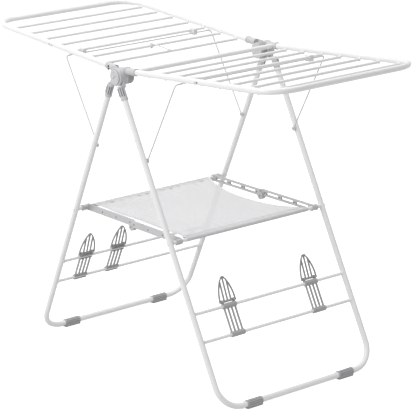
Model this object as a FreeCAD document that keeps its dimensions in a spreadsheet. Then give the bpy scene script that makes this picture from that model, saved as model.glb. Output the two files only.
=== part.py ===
"""A folding clothes drying rack: two U-shaped leg frames and two wings on one pair of hubs,
a cloth shelf between the legs, and shoe holders on the lower bars.

X runs from the rear leg frame to the front one, Y along the bars, Z up. The origin is on the
floor under the middle of the rack. A limb is a leg frame or a wing: it turns about the hub pins,
and its own places are given by the distance down the limb from the pin, the offset outwards
from the pin, and y.
"""

import FreeCAD, Part
import math
import os

import Sketcher

Vector = FreeCAD.Vector
os.makedirs("parts", exist_ok=True)
doc = FreeCAD.newDocument("drying_rack")
doc.UndoMode = 0

# Driving dimensions, in millimetres and degrees.
SIZES = {
    "pin_height": 822,
    "pin_radius": 4,
    "pin_head_radius": 9,
    "pin_head_depth": 4,
    "running_gap": 0.05,
    "cut_margin": 1,
    "side_gap": 0.3,
    "tube_radius": 8,
    "tube_wall": 0.9,
    "leg_angle": 26.93,
    "leg_offset": 9,
    "leg_half_width": 259,
    "leg_bend": 65,
    "wing_angle": 93.9,
    "wing_offset": 15,
    "wing_half_width": 237,
    "wing_reach": 629,
    "wing_bend": 70,
    "rung_radius": 4,
    "rung_drop": 7,
    "rung_wall": 0.8,
    "rung_count": 7,
    "first_rung": 108,
    "rung_pitch": 75,
    "rung_end_gap": 0.4,
    "inner_tube_radius": 6.5,
    "inner_tube_reach": 50,
    "disc_radius": 24,
    "disc_depth": 6,
    "disc_inset": 8.8,
    "sleeve_wall": 1.4,
    "sleeve_start": 28,
    "sleeve_length": 38,
    "tube_stop": 8,
    "bore_stop": 6,
    "arm_width": 15,
    "bar_radius": 4.5,
    "upper_bar_reach": 654,
    "lower_bar_reach": 730,
    "rod_radius": 5,
    "shelf_rod_reach": 460,
    "foot_wall": 1.8,
    "foot_length": 50,
    "foot_place": 157,
    "sole_width": 14,
    "sole_height": 5.2,
    "sole_drop": 2.2,
    "stay_radius": 2,
    "stay_bend": 9,
    "stay_cross_reach": 248,
    "stay_catch_reach": 235,
    "stay_eye_radius": 4.5,
    "catch_radius": 3.5,
    "catch_depth": 0.7,
    "stay_gap": 0.4,
    "stay_clip_width": 12,
    "stay_clip_depth": 16,
    "stay_clip_wall": 3,
    "stay_clip_place": 190,
    "stud_radius": 4,
    "stud_depth": 2.5,
    "stud_reach": 326,
    "link_depth": 6,
    "link_height": 18,
    "link_rail": 5,
    "link_web": 1.5,
    "link_inner_place": 216,
    "link_layer_gap": 0.6,
    "link_post": 12,
    "link_root": 16,
    "link_stop": 8,
    "link_sleeve_wall": 3,
    "link_sleeve_end": 240,
    "knuckle_radius": 11,
    "knuckle_drop": 9,
    "cloth_thickness": 1.5,
    "cloth_half_width": 206,
    "cloth_rod_gap": 1,
    "clip_wall": 3,
    "clip_length": 42,
    "clip_rib": 3.2,
    "clip_rib_depth": 5,
    "clip_rib_gap": 12,
    "clip_mouth": 8.4,
    "clip_lip": 2,
    "ear_reach": 12,
    "ear_wall": 2,
    "ear_width": 5,
    "ear_place": 18.5,
    "fin_base_radius": 3,
    "fin_half_width": 26.5,
    "fin_height": 72,
    "fin_tip_radius": 7.5,
    "fin_tip_reach": 59,
    "fin_depth": 4,
    "fin_rim": 3,
    "fin_rib": 3,
    "fin_rib_gap": 11,
    "fin_foot": 1,
    "fin_lean": 21,
    "rear_fin_near": -176,
    "rear_fin_far": -66,
    "front_fin_near": -139,
    "front_fin_far": 140,
    "latch_radius": 1.75,
    "latch_gap": 0.55,
    "latch_place": -9,
    "latch_lift": 0.4,
    "latch_tail": 12,
}
sheet = doc.addObject("Spreadsheet::Sheet", "Sizes")
for line, (alias, value) in enumerate(SIZES.items(), 1):
    sheet.set("A%d" % line, alias)
    sheet.set("B%d" % line, str(value))
    sheet.setAlias("B%d" % line, alias)
doc.recompute()

REAR, FRONT = -1, 1
NEAR, FAR = -1, 1
ENDS = {"near": NEAR, "far": FAR}
ALONG_Y = Vector(0, 1, 0)
kept = []


def size(name):
    """One driving dimension, read from the sheet."""
    return float(sheet.get(name))


def turn(degrees):
    """A turn about Y, as a rotation."""
    return FreeCAD.Rotation(ALONG_Y, degrees)


def limb(side, angle):
    """The frame of a leg or wing: local -Z runs down the limb, and side * X points outwards."""
    return FreeCAD.Placement(Vector(0, 0, size("pin_height")), turn(-side * angle))


def spot(side, angle, reach, offset, y=0):
    """A place on a limb, by its distance from the pin, its offset outwards and its y."""
    return limb(side, angle).multVec(Vector(side * offset, y, -reach))


def bound(kind, name, placement, **rules):
    """A Part object whose sizes follow the sheet, put at a placement."""
    made = doc.addObject(kind, name)
    for prop, rule in rules.items():
        made.setExpression(prop, rule)
    made.Placement = placement
    return made


def rod(name, start, direction, radius, length):
    """A round rod from a start point. Radius and length are rules on the sheet."""
    placement = FreeCAD.Placement(start, FreeCAD.Rotation(Vector(0, 0, 1), direction))
    return bound("Part::Cylinder", name, placement, Radius=radius, Height=length)


def cross_rod(name, middle, radius, half):
    """A round rod along Y, centred on a point. Half is half its length, as a rule."""
    made = rod(name, middle, ALONG_Y, radius, "2 * (%s)" % half)
    doc.recompute()
    made.Placement.Base = middle - ALONG_Y * (float(made.Height) / 2)
    return made


def cross_tube(name, middle, radius, wall, half):
    """A round tube along Y, centred on a point."""
    outside = cross_rod(name, middle, radius, half)
    bore = cross_rod(name + "_hollow", middle, "%s - (%s)" % (radius, wall),
                     "%s + Sizes.cut_margin" % half)
    return cut(name + "_tube", outside, bore)


def block(name, placement, corner, length, width, height):
    """A box with its low corner at a local point of a placement."""
    made = placement.multiply(FreeCAD.Placement(corner, FreeCAD.Rotation()))
    return bound("Part::Box", name, made, Length=length, Width=width, Height=height)


def fuse(name, parts):
    """One solid from several."""
    made = doc.addObject("Part::MultiFuse", name)
    made.Shapes = parts
    made.Refine = True
    return made


def cut(name, base, tool):
    """Base with tool taken out of it."""
    made = doc.addObject("Part::Cut", name)
    made.Base = base
    made.Tool = tool
    return made


def group(name, parts):
    """Several separate solids kept as one sub-part."""
    made = doc.addObject("Part::Compound", name)
    made.Links = parts
    return made


def keep(label, made):
    """Names a finished sub-part, which is then written to its own file."""
    made.Label = label
    kept.append(made)
    return made


def bent_frame(name, placement, half_width, bottom, top, bend, radius, wall=None):
    """A tube or wire bent to a U in the local YZ plane. All its sizes are rules on the sheet."""
    body = doc.addObject("PartDesign::Body", name)
    planes = {plane.Role: plane for plane in body.Origin.OriginFeatures}
    path = body.newObject("Sketcher::SketchObject", name + "_path")
    path.AttachmentSupport = (planes["YZ_Plane"], [""])
    path.MapMode = "FlatFace"
    half, low, high, turn_radius = (
        float(sheet.evalExpression(rule)) for rule in (half_width, bottom, top, bend)
    )
    inner = half - turn_radius
    corner = low + turn_radius
    normal = Vector(0, 0, 1)
    left_arc = Part.Circle(Vector(-inner, corner, 0), normal, turn_radius)
    right_arc = Part.Circle(Vector(inner, corner, 0), normal, turn_radius)
    path.addGeometry([
        Part.LineSegment(Vector(-half, high, 0), Vector(-half, corner, 0)),
        Part.ArcOfCircle(left_arc, math.pi, 1.5 * math.pi),
        Part.LineSegment(Vector(-inner, low, 0), Vector(inner, low, 0)),
        Part.ArcOfCircle(right_arc, 1.5 * math.pi, 2 * math.pi),
        Part.LineSegment(Vector(half, corner, 0), Vector(half, high, 0)),
    ])
    rule = Sketcher.Constraint
    path.addConstraint([
        rule("Tangent", 0, 2, 1, 1),
        rule("Tangent", 1, 2, 2, 1),
        rule("Tangent", 2, 2, 3, 1),
        rule("Tangent", 3, 2, 4, 1),
        rule("Vertical", 0),
        rule("Vertical", 4),
        rule("Equal", 1, 3),
        rule("Symmetric", 0, 1, 4, 2, -2),
        rule("Radius", 1, turn_radius),
        rule("DistanceX", 0, 1, 4, 2, 2 * half),
        rule("DistanceY", 2, 1, 0, 1, high - low),
        rule("DistanceY", 0, 1, -1, 1, -high) if high < 0 else rule("PointOnObject", 2, 1, -1),
    ])
    path.setExpression("Constraints[8]", bend)
    path.setExpression("Constraints[9]", "2 * (%s)" % half_width)
    path.setExpression("Constraints[10]", "(%s) - (%s)" % (top, bottom))
    if high < 0:
        path.setExpression("Constraints[11]", "-(%s)" % top)
    ring = body.newObject("Sketcher::SketchObject", name + "_ring")
    ring.AttachmentSupport = (planes["XY_Plane"], [""])
    ring.MapMode = "FlatFace"
    ring.setExpression("AttachmentOffset.Base.y", "-(%s)" % half_width)
    ring.setExpression("AttachmentOffset.Base.z", top)
    outside = float(sheet.evalExpression(radius))
    ring.addGeometry(Part.Circle(Vector(0, 0, 0), normal, outside))
    ring.addConstraint([rule("Coincident", 0, 3, -1, 1), rule("Radius", 0, outside)])
    ring.setExpression("Constraints[1]", radius)
    if wall:
        inside = outside - float(sheet.evalExpression(wall))
        ring.addGeometry(Part.Circle(Vector(0, 0, 0), normal, inside))
        ring.addConstraint([rule("Coincident", 1, 3, -1, 1), rule("Radius", 1, inside)])
        ring.setExpression("Constraints[3]", "(%s) - (%s)" % (radius, wall))
    pipe = body.newObject("PartDesign::AdditivePipe", name + "_pipe")
    pipe.Profile = ring
    pipe.Spine = (path, ["Edge%d" % edge for edge in range(1, 6)])
    body.Placement = placement
    return body


LEG, WING = size("leg_angle"), size("wing_angle")
TUBE_TOP = "-(Sizes.sleeve_start + Sizes.tube_stop)"
RUNG_HALF = (
    "Sizes.wing_half_width - Sizes.rung_end_gap"
    " - sqrt(Sizes.tube_radius ^ 2 - (Sizes.rung_drop - Sizes.rung_radius) ^ 2)"
)
FOOT_BOTTOM = (
    "-(Sizes.pin_height + Sizes.leg_offset * sin(Sizes.leg_angle * 1 deg) - Sizes.tube_radius"
    " - Sizes.foot_wall - Sizes.sole_drop) / cos(Sizes.leg_angle * 1 deg)"
)
foot_reach = -float(sheet.evalExpression(FOOT_BOTTOM))

# Leg frames: a steel tube bent to a U, with bars and a shelf rod across it and foot pads on it.
for frame, side in (("rear", REAR), ("front", FRONT)):
    offset = size("leg_offset")
    leg_place = limb(side, LEG)
    leg_place.Base = spot(side, LEG, 0, offset)
    keep(frame + "_leg_frame", bent_frame(
        frame + "_leg", leg_place, "Sizes.leg_half_width", FOOT_BOTTOM, TUBE_TOP,
        "Sizes.leg_bend", "Sizes.tube_radius", "Sizes.tube_wall"))
    across = "Sizes.leg_half_width - Sizes.tube_radius"
    for bar, reach in (("upper", "upper_bar_reach"), ("lower", "lower_bar_reach")):
        middle = spot(side, LEG, size(reach), offset)
        keep("%s_%s_bar" % (frame, bar), cross_tube(
            "%s_%s" % (frame, bar), middle, "Sizes.bar_radius", "Sizes.rung_wall", across))
    middle = spot(side, LEG, size("shelf_rod_reach"), offset)
    keep(frame + "_shelf_rod", cross_tube(
        frame + "_rod", middle, "Sizes.rod_radius", "Sizes.rung_wall", across))
    pads = []
    for end in (NEAR, FAR):
        middle = spot(side, LEG, foot_reach, offset, end * size("foot_place"))
        pad = "%s_pad_%d" % (frame, end + 1)
        shell = cross_rod(pad, middle, "Sizes.tube_radius + Sizes.foot_wall", "Sizes.foot_length / 2")
        bore = cross_rod(pad + "_bore", middle, "Sizes.tube_radius + Sizes.running_gap",
                         "Sizes.foot_length")
        ground = FreeCAD.Placement(Vector(middle.x, middle.y, 0), FreeCAD.Rotation())
        corner = Vector(-size("sole_width") / 2, -size("foot_length") / 2, 0)
        sole = block(pad + "_sole", ground, corner, "Sizes.sole_width", "Sizes.foot_length",
                     "Sizes.sole_height")
        pads.append(cut(pad + "_cut", fuse(pad + "_whole", [shell, sole]), bore))
    keep(frame + "_foot_pads", group(frame + "_pads", pads))

# Wings: a lighter U of the same tube, with thin rungs welded under its rails.
for wing, side in (("left", REAR), ("right", FRONT)):
    offset = size("wing_offset")
    wing_place = limb(side, WING)
    wing_place.Base = spot(side, WING, 0, offset)
    keep(wing + "_wing_frame", bent_frame(
        wing + "_wing", wing_place, "Sizes.wing_half_width", "-Sizes.wing_reach", TUBE_TOP,
        "Sizes.wing_bend", "Sizes.tube_radius", "Sizes.tube_wall"))
    for number in range(int(size("rung_count"))):
        reach = size("first_rung") + number * size("rung_pitch")
        middle = spot(side, WING, reach, offset - size("rung_drop"))
        keep("%s_rung_%d" % (wing, number + 1), cross_tube(
            "%s_bar_%d" % (wing, number + 1), middle, "Sizes.rung_radius", "Sizes.rung_wall",
            RUNG_HALF))
    studs = []
    for end in (NEAR, FAR):
        face = end * (size("wing_half_width") + size("tube_radius"))
        start = spot(side, WING, size("stud_reach"), offset, face)
        studs.append(rod("%s_stud_%d" % (wing, end + 1), start, ALONG_Y * end,
                         "Sizes.stud_radius", "Sizes.stud_depth"))
    keep(wing + "_stow_studs", group(wing + "_studs", studs))
middle = spot(FRONT, WING, size("inner_tube_reach"), size("wing_offset"))
keep("right_inner_tube", cross_tube(
    "inner_tube", middle, "Sizes.inner_tube_radius", "Sizes.tube_wall",
    "Sizes.wing_half_width - Sizes.tube_radius - Sizes.sleeve_wall"))

# Hubs: four moulded sockets stacked on a steel pin at each end. Each is a disc on the pin, an
# arm, and a sleeve that holds one tube.
LEG_OUT = size("leg_half_width")
WING_OUT = size("wing_half_width")
layer = size("disc_depth") + size("side_gap")
OUTER_FACE = LEG_OUT + size("tube_radius") + size("sleeve_wall") - size("disc_inset")
SOCKETS = (("rear_socket", REAR, LEG, "leg", 0), ("front_socket", FRONT, LEG, "leg", 1),
           ("left_socket", REAR, WING, "wing", 2), ("right_socket", FRONT, WING, "wing", 3))
for end_name, end in ENDS.items():
    for label, side, angle, kind, place in SOCKETS:
        name = "%s_%s" % (label, end_name)
        offset = size(kind + "_offset")
        frame_at = limb(side, angle)
        inside = end * (OUTER_FACE - place * layer - size("disc_depth"))
        pin_point = Vector(0, inside, size("pin_height"))
        disc = rod(name + "_disc", pin_point, ALONG_Y * end, "Sizes.disc_radius",
                   "Sizes.disc_depth")
        low_y = min(inside, inside + end * size("disc_depth"))
        corner = Vector(side * offset - size("arm_width") / 2, low_y,
                        -size("sleeve_start") - size("bore_stop"))
        arm = block(name + "_arm", frame_at, corner, "Sizes.arm_width", "Sizes.disc_depth",
                    "Sizes.sleeve_start + Sizes.bore_stop - Sizes.disc_radius / 2")
        tube_y = end * size(kind + "_half_width")
        start = spot(side, angle, size("sleeve_start"), offset, tube_y)
        down = frame_at.Rotation.multVec(Vector(0, 0, -1))
        sleeve = rod(name + "_sleeve", start, down, "Sizes.tube_radius + Sizes.sleeve_wall",
                     "Sizes.sleeve_length")
        bore_start = spot(side, angle, size("sleeve_start") + size("bore_stop"), offset, tube_y)
        bore = rod(name + "_bore", bore_start, down, "Sizes.tube_radius + Sizes.running_gap",
                   "Sizes.sleeve_length")
        pin_bore = rod(name + "_eye", pin_point - ALONG_Y * end * size("cut_margin"), ALONG_Y * end,
                       "Sizes.pin_radius + Sizes.running_gap",
                       "Sizes.disc_depth + 2 * Sizes.cut_margin")
        solid = fuse(name + "_solid", [disc, arm, sleeve])
        tools = fuse(name + "_tools", [bore, pin_bore])
        keep(name, cut(name + "_socket", solid, tools))
    inner_face = end * (OUTER_FACE - 4 * layer)
    shank = rod("pin_shank_" + end_name, Vector(0, inner_face, size("pin_height")),
                ALONG_Y * end, "Sizes.pin_radius",
                "4 * (Sizes.disc_depth + Sizes.side_gap)")
    head = rod("pin_head_" + end_name, Vector(0, end * OUTER_FACE, size("pin_height")),
               ALONG_Y * end, "Sizes.pin_head_radius", "Sizes.pin_head_depth")
    washer = rod("pin_nut_" + end_name, Vector(0, inner_face, size("pin_height")),
                 ALONG_Y * -end, "Sizes.pin_head_radius", "Sizes.pin_head_depth")
    keep("hub_pin_" + end_name, fuse("pin_" + end_name, [shank, head, washer]))

# Stays: one thin wire each, clipped under a wing, with two arms that reach down to the legs.
for wing, side in (("left", REAR), ("right", FRONT)):
    cross_offset = (size("wing_offset") - size("rung_drop") - size("rung_radius")
                    - size("stay_radius") - size("stay_gap"))
    cross = spot(side, WING, size("stay_cross_reach"), cross_offset)
    catch = spot(side, LEG, size("stay_catch_reach"), size("leg_offset"))
    reach = catch - cross
    slope = math.degrees(math.atan2(reach.x, reach.z))
    stay_place = FreeCAD.Placement(cross, turn(slope))
    sheet.set("D%d" % (2 + side), "%s_stay_length" % wing)
    sheet.set("E%d" % (2 + side), "=%r" % reach.Length)
    sheet.setAlias("E%d" % (2 + side), "%s_stay_length" % wing)
    doc.recompute()
    stay_y = "(Sizes.wing_half_width + Sizes.leg_half_width) / 2"
    wire = bent_frame(wing + "_wire", stay_place, stay_y, "0",
                      "Sizes.%s_stay_length - Sizes.stay_eye_radius" % wing,
                      "Sizes.stay_bend", "Sizes.stay_radius")
    pieces = [wire]
    wire_y = float(sheet.evalExpression(stay_y))
    for end in (NEAR, FAR):
        eye_place = FreeCAD.Placement(catch + ALONG_Y * end * wire_y,
                                      FreeCAD.Rotation(Vector(1, 0, 0), 90))
        pieces.append(bound("Part::Torus", "%s_eye_%d" % (wing, end + 1), eye_place,
                            Radius1="Sizes.stay_eye_radius", Radius2="Sizes.stay_radius"))
    keep(wing + "_stay", fuse(wing + "_stay_wire", pieces))
    frame = "rear" if side == REAR else "front"
    catches, clips = [], []
    for end in (NEAR, FAR):
        face = end * (LEG_OUT - size("tube_radius"))
        start = spot(side, LEG, size("stay_catch_reach"), size("leg_offset"), face)
        catches.append(rod("%s_catch_%d" % (frame, end + 1), start, ALONG_Y * -end,
                           "Sizes.catch_radius", "Sizes.catch_depth"))
        rung_at = size("first_rung") + 2 * size("rung_pitch")
        rung_offset = size("wing_offset") - size("rung_drop")
        y_at = end * size("stay_clip_place") - size("stay_clip_width") / 2
        low = Vector(side * (cross_offset + rung_offset) / 2 - size("stay_clip_depth") / 2, y_at,
                     -rung_at - size("rung_radius") - size("stay_clip_wall"))
        name = "%s_clip_%d" % (wing, end + 1)
        body = block(name, limb(side, WING), low, "Sizes.stay_clip_depth",
                     "Sizes.stay_clip_width",
                     "Sizes.first_rung + 2 * Sizes.rung_pitch - Sizes.stay_cross_reach"
                     " + Sizes.rung_radius + Sizes.stay_radius + 2 * Sizes.stay_clip_wall")
        before = y_at - size("cut_margin")
        through = "Sizes.stay_clip_width + 2 * Sizes.cut_margin"
        holes = [
            rod(name + "_rung", spot(side, WING, rung_at, rung_offset, before), ALONG_Y,
                "Sizes.rung_radius + Sizes.running_gap", through),
            rod(name + "_wire", spot(side, WING, size("stay_cross_reach"), cross_offset, before),
                ALONG_Y, "Sizes.stay_radius + Sizes.running_gap", through),
        ]
        clips.append(cut(name + "_cut", body, fuse(name + "_holes", holes)))
    keep(frame + "_stay_catches", group(frame + "_catches", catches))
    keep(wing + "_stay_clips", group(wing + "_clips", clips))

# Shelf: a cloth between the two shelf rods, and a moulded folding link at each end of it. A
# link is a pair of rails joined by posts, with an eye round its rod and a knuckle in the middle.
rod_half = abs(spot(FRONT, LEG, size("shelf_rod_reach"), size("leg_offset")).x)
rod_height = spot(FRONT, LEG, size("shelf_rod_reach"), size("leg_offset")).z
for end_name, end in ENDS.items():
    for frame, side in (("rear", REAR), ("front", FRONT)):
        name = "%s_link_%s" % (frame, end_name)
        inner = size("link_inner_place")
        if side == FRONT:
            inner += size("link_depth") + size("link_layer_gap")
        start_y = min(end * inner, end * (inner + size("link_depth")))
        at_rod = FreeCAD.Placement(Vector(side * rod_half, 0, rod_height), FreeCAD.Rotation())
        eye = rod(name + "_eye", at_rod.Base + ALONG_Y * end * inner, ALONG_Y * end,
                  "Sizes.rod_radius + Sizes.link_sleeve_wall",
                  "Sizes.link_sleeve_end - %r" % inner)
        low_x = 0 if side == REAR else -rod_half
        bar = block(name + "_bar", at_rod, Vector(low_x, start_y, -size("link_height") / 2),
                    "%r" % rod_half, "Sizes.link_depth", "Sizes.link_height")
        knuckle = rod(name + "_knuckle",
                      Vector(0, end * inner, rod_height - size("knuckle_drop")), ALONG_Y * end,
                      "Sizes.knuckle_radius", "Sizes.link_depth")
        tools = [rod(name + "_bore", at_rod.Base + ALONG_Y * end * (inner - size("cut_margin")),
                     ALONG_Y * end,
                     "Sizes.rod_radius + Sizes.running_gap", "Sizes.leg_half_width")]
        window = (rod_half - size("link_root") - size("link_stop")) / 3 - size("link_post")
        for number in range(3):
            near_rod = size("link_root") + number * (window + size("link_post"))
            low_x = near_rod if side == REAR else -near_rod - window
            low_z = -size("link_height") / 2 + size("link_rail")
            low_y = start_y - size("cut_margin")
            if end == NEAR:
                low_y = start_y + size("link_web")
            tools.append(block("%s_window_%d" % (name, number), at_rod,
                               Vector(low_x, low_y, low_z),
                               "%r" % window, "Sizes.link_depth + 2 * Sizes.cut_margin",
                               "Sizes.link_height - 2 * Sizes.link_rail"))
        solid = fuse(name + "_solid", [eye, bar, knuckle])
        keep(name, cut(name + "_link", solid, fuse(name + "_tools", tools)))
cloth_edge = rod_half - size("rod_radius") - size("cloth_rod_gap")
flat = FreeCAD.Placement(Vector(0, 0, rod_height), FreeCAD.Rotation())
low = Vector(-cloth_edge, -size("cloth_half_width"), -size("cloth_thickness") / 2)
keep("shelf_cloth", block("cloth", flat, low, "%r" % (2 * cloth_edge),
                          "2 * Sizes.cloth_half_width", "Sizes.cloth_thickness"))

# Shoe holders: a ribbed clip snapped over both lower bars, and a ribbed pointed fin that tilts
# in two ears at its top.
FINS = {"rear": ("rear_fin_near", "rear_fin_far"), "front": ("front_fin_near", "front_fin_far")}
fin_reach = size("upper_bar_reach") - size("ear_reach")
for frame, side in (("rear", REAR), ("front", FRONT)):
    offset = size("leg_offset")
    clips = []
    for end_name, place in zip(ENDS, FINS[frame]):
        name = "%s_holder_%s" % (frame, end_name)
        y = size(place)
        at = [spot(side, LEG, size(reach), offset, y)
              for reach in ("upper_bar_reach", "lower_bar_reach")]
        solids = [cross_rod("%s_ring_%d" % (name, number), point,
                            "Sizes.bar_radius + Sizes.clip_wall", "Sizes.clip_length / 2")
                  for number, point in enumerate(at)]
        for number in range(4):
            rib_y = y + (number - 1.5) * size("clip_rib_gap") - size("clip_rib") / 2
            low = Vector(side * offset - size("clip_rib_depth") / 2, rib_y,
                         -size("lower_bar_reach"))
            solids.append(block("%s_rib_%d" % (name, number), limb(side, LEG), low,
                                "Sizes.clip_rib_depth", "Sizes.clip_rib",
                                "Sizes.lower_bar_reach - Sizes.upper_bar_reach"))
        tools = [cross_rod("%s_hole_%d" % (name, number), point,
                           "Sizes.bar_radius + Sizes.running_gap", "Sizes.clip_length")
                 for number, point in enumerate(at)]
        for number, reach in enumerate(("upper_bar_reach", "lower_bar_reach")):
            mouth_x = side * offset - side * size("clip_lip")
            if side == FRONT:
                mouth_x -= size("clip_length")
            low = Vector(mouth_x, y - size("clip_length"), -size(reach) - size("clip_mouth") / 2)
            tools.append(block("%s_mouth_%d" % (name, number), limb(side, LEG), low,
                               "Sizes.clip_length", "2 * Sizes.clip_length",
                               "Sizes.clip_mouth"))
        pivot = spot(side, LEG, fin_reach, offset, y)
        for ear in (NEAR, FAR):
            middle = pivot + ALONG_Y * ear * size("ear_place")
            solids.append(cross_rod("%s_ear_%d" % (name, ear + 1), middle,
                                    "Sizes.fin_base_radius + Sizes.ear_wall",
                                    "Sizes.ear_width / 2"))
        tools.append(cross_rod(name + "_ear_hole", pivot,
                               "Sizes.fin_base_radius + Sizes.running_gap",
                               "Sizes.clip_length"))
        clips.append(cut(name + "_clip", fuse(name + "_solid", solids),
                         fuse(name + "_tools", tools)))

        fin = "%s_fin_%s" % (frame, end_name)
        upright = FreeCAD.Placement(pivot, turn(-side * size("fin_lean")))
        arch = "(Sizes.fin_half_width ^ 2 + Sizes.fin_height ^ 2) / (2 * Sizes.fin_half_width)"
        arch_size = float(sheet.evalExpression(arch))
        shapes = []
        for rim in (0, size("fin_rim")):
            shells = []
            for way in (NEAR, FAR):
                middle = Vector(-size("fin_depth") / 2, way * (arch_size - size("fin_half_width")), 0)
                facing = FreeCAD.Rotation(Vector(0, 1, 0), 90)
                round_place = upright.multiply(FreeCAD.Placement(middle, facing))
                shells.append(bound("Part::Cylinder", "%s_arc_%d_%d" % (fin, rim, way + 1),
                                    round_place, Radius="%s - %r" % (arch, rim),
                                    Height="Sizes.fin_depth"))
            box_low = Vector(-size("fin_depth"), -2 * size("fin_half_width"),
                             0 if rim else size("fin_foot"))
            shells.append(block("%s_top_%d" % (fin, rim), upright, box_low,
                                "2 * Sizes.fin_depth", "4 * Sizes.fin_half_width",
                                "Sizes.fin_tip_reach - (%r)" % box_low.z))
            lens = doc.addObject("Part::MultiCommon", "%s_lens_%d" % (fin, rim))
            lens.Shapes = shells
            tip_middle = Vector(-size("fin_depth") / 2, 0, size("fin_tip_reach"))
            tip_place = upright.multiply(FreeCAD.Placement(tip_middle, facing))
            tip = bound("Part::Cylinder", "%s_tip_%d" % (fin, rim), tip_place,
                        Radius="Sizes.fin_tip_radius - %r" % rim, Height="Sizes.fin_depth")
            shapes.append(fuse("%s_leaf_%d" % (fin, rim), [lens, tip]))
        rim_ring = cut(fin + "_rim", shapes[0], shapes[1])
        ribs = [block("%s_rib_%d" % (fin, number), upright,
                      Vector(-size("fin_depth") / 2,
                             (number - 1) * size("fin_rib_gap") - size("fin_rib") / 2, 0),
                      "Sizes.fin_depth", "Sizes.fin_rib", "Sizes.fin_height")
                for number in range(3)]
        grid = doc.addObject("Part::MultiCommon", fin + "_ribs")
        rib_group = fuse(fin + "_rib_set", ribs)
        grid.Shapes = [shapes[0], rib_group]
        base = cross_rod(fin + "_base", pivot, "Sizes.fin_base_radius", "Sizes.fin_half_width")
        keep(fin, fuse(fin + "_whole", [rim_ring, grid, base]))
    keep(frame + "_shoe_clips", group(frame + "_holders", clips))

# Transport latch: a thin wire ring round one rung of the left wing, lying over the next one.
rung_offset = size("wing_offset") - size("rung_drop")
ring_radius = size("rung_radius") + size("latch_gap") + size("latch_radius")
ring_reach = size("first_rung") + size("rung_pitch")
ring_middle = spot(REAR, WING, ring_reach, rung_offset, size("latch_place"))
ring_place = FreeCAD.Placement(ring_middle, FreeCAD.Rotation(Vector(1, 0, 0), 90))
ring = bound("Part::Torus", "latch_ring", ring_place,
             Radius1="Sizes.rung_radius + Sizes.latch_gap + Sizes.latch_radius",
             Radius2="Sizes.latch_radius")
tail_offset = rung_offset + ring_radius + size("latch_lift")
tail_start = spot(REAR, WING, ring_reach, tail_offset, size("latch_place"))
inwards = limb(REAR, WING).Rotation.multVec(Vector(0, 0, 1))
tail = rod("latch_tail", tail_start, inwards, "Sizes.latch_radius",
           "Sizes.rung_pitch + Sizes.latch_tail")
keep("transport_latch", fuse("latch", [ring, tail]))

doc.recompute()
for made in doc.Objects:
    if "Invalid" in made.State or "Error" in made.State:
        raise RuntimeError("%s failed: %s" % (made.Name, made.State))
for made in kept:
    shape = made.Shape
    if shape.isNull() or not shape.isValid() or not shape.Solids:
        raise RuntimeError("%s has no valid solid" % made.Label)
for made in kept:
    made.Shape.exportStep("parts/%s.step" % made.Label)
print(len(kept), "sub-parts written")
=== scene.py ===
"""A folding clothes drying rack in white enamel and grey plastic, with a mesh cloth shelf."""

import math

import bmesh
import bpy
from mathutils import Matrix, Vector


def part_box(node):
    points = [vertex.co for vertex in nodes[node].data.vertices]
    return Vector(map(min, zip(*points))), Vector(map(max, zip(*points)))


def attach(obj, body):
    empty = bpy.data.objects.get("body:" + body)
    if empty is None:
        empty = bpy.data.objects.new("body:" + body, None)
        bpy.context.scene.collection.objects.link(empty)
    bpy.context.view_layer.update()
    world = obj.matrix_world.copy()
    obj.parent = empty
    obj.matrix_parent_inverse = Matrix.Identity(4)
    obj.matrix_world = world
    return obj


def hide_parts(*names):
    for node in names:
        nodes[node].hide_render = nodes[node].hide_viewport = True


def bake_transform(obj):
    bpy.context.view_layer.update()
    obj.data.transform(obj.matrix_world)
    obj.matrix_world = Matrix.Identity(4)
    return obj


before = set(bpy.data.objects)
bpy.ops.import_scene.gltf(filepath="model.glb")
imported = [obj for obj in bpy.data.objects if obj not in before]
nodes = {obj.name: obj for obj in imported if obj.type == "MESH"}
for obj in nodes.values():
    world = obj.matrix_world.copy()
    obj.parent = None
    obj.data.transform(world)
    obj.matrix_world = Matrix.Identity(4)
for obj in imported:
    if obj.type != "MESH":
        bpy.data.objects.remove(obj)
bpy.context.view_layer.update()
MM = 0.001
scene = bpy.context.scene


# Camera: a long lens, far off the near front corner of the rack and a little above it, so that
# its lines stay nearly parallel. It is rolled by a degree and a half.
CAMERA_PLACE = Vector((4.2484, -3.2057, 1.9746))
CAMERA_AZIMUTH, CAMERA_ELEVATION, CAMERA_ROLL = 52.682, 16.251, -1.592
LENS, SENSOR = 174.83, 36.0
camera_data = bpy.data.cameras.new("camera")
camera_data.lens = LENS
camera_data.sensor_width = SENSOR
camera = bpy.data.objects.new("camera", camera_data)
scene.collection.objects.link(camera)
scene.camera = camera
azimuth, elevation = math.radians(CAMERA_AZIMUTH), math.radians(CAMERA_ELEVATION)
back = Vector((
    math.sin(azimuth) * math.cos(elevation),
    -math.cos(azimuth) * math.cos(elevation),
    math.sin(elevation),
))
turned = (-back).to_track_quat("-Z", "Y").to_matrix().to_4x4()
roll = Matrix.Rotation(math.radians(CAMERA_ROLL), 4, "Z")
camera.matrix_world = Matrix.Translation(CAMERA_PLACE) @ turned @ roll


# Studio: a pale floor that shows white to the camera and keeps the soft shadow, one large lamp
# overhead, another on the near side and a weak one in front.
FLOOR_SIZE, FLOOR_SHADE, FLOOR_ROUGHNESS, FLOOR_LIFT = 14.0, 0.6, 0.8, 0.80
WORLD_STRENGTH = 0.56
LAMP_TARGET = (0, 0, 0.5)
LAMPS = (("overhead", (-0.4, 0.3, 3.4), 2.6, 42), ("key", (-0.5, -3.5, 2.6), 2.2, 66),
         ("front_fill", (3.4, -1.6, 1.4), 2.0, 5))


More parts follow.
